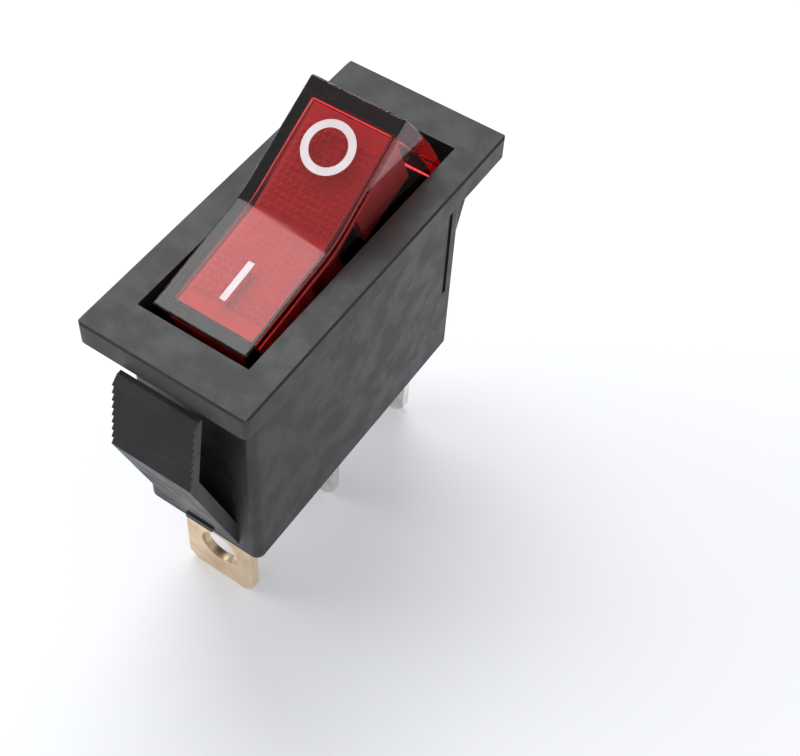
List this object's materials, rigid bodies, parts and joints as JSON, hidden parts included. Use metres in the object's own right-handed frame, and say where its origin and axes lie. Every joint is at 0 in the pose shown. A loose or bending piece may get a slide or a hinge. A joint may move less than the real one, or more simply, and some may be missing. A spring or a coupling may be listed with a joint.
{
  "type": "panel rocker switch",
  "caption": "Illuminated snap-in rocker switch: black bezel and body with snap wings, tilting red lens rocker marked O and I, and push-on tabs below.",
  "frame": {"origin": "centre of the bezel's underside, which seats on the panel", "axes": "+Z out of the panel towards the finger, Y along the rocker with its O end at +Y, X across it"},
  "size_m": [0.0138, 0.0348, 0.0386],
  "materials": {
    "nylon_black": "satin moulded nylon, faintly grained",
    "lens_red": "glossy transparent red, stippled underneath",
    "carrier_white": "translucent white moulding",
    "turned_brass": "turned, polished tip",
    "spring_steel": "bright drawn wire",
    "copper_strip": "rolled copper strip",
    "contact_silver": "bright silver contact",
    "nickel_plate": "nickel-plated sheet with bright sheared edges",
    "brass_sheet": "warm brass sheet with bright sheared edges",
    "bulb_glass": "clear blown glass",
    "lead_wire": "tinned wire",
    "resistor_body": "lacquered body with colour bands",
    "sleeve_black": "soft sleeve"
  },
  "bodies": {
    "housing_body": {"housing": "nylon_black", "line_terminal": "nickel_plate", "load_terminal": "nickel_plate", "lamp_terminal": "brass_sheet", "fixed_contact": "contact_silver", "lamp_spring": "spring_steel"},
    "rocker": {"rocker_lens": "lens_red", "lamp_carrier": "carrier_white", "plunger_spring": "spring_steel", "neon_bulb": "bulb_glass", "bulb_electrodes": "lead_wire", "resistor": "resistor_body", "bulb_lead": "lead_wire", "link_lead": "lead_wire", "lead_sleeve": "sleeve_black", "resistor_lead": "lead_wire"},
    "plunger_pin": {"plunger": "turned_brass"},
    "lever": {"contact_lever": "copper_strip", "moving_contact": "contact_silver"}
  },
  "joints": [
    {"name": "rocker_pivot", "type": "hinge", "parent": "housing_body", "child": "rocker", "pos_m": [0, 0, -0.0012], "axis": [1, 0, 0], "range_deg": [-42.6, 0], "deforming": ["lamp_spring"]},
    {"name": "contact_rock", "type": "hinge", "parent": "housing_body", "child": "lever", "pos_m": [0, 0, -0.0155], "axis": [1, 0, 0], "range_deg": [0, 15]},
    {"name": "plunger_slide", "type": "slide", "parent": "rocker", "child": "plunger_pin", "axis": [0, 0.3633, -0.9317], "range_m": [-0.001, 0.0005], "stiffness_N_per_m": 300, "deforming": ["plunger_spring"]}
  ],
  "couplings": [
    {"joint": "contact_rock", "follows": "rocker_pivot", "ratio": -0.3286}
  ]
}
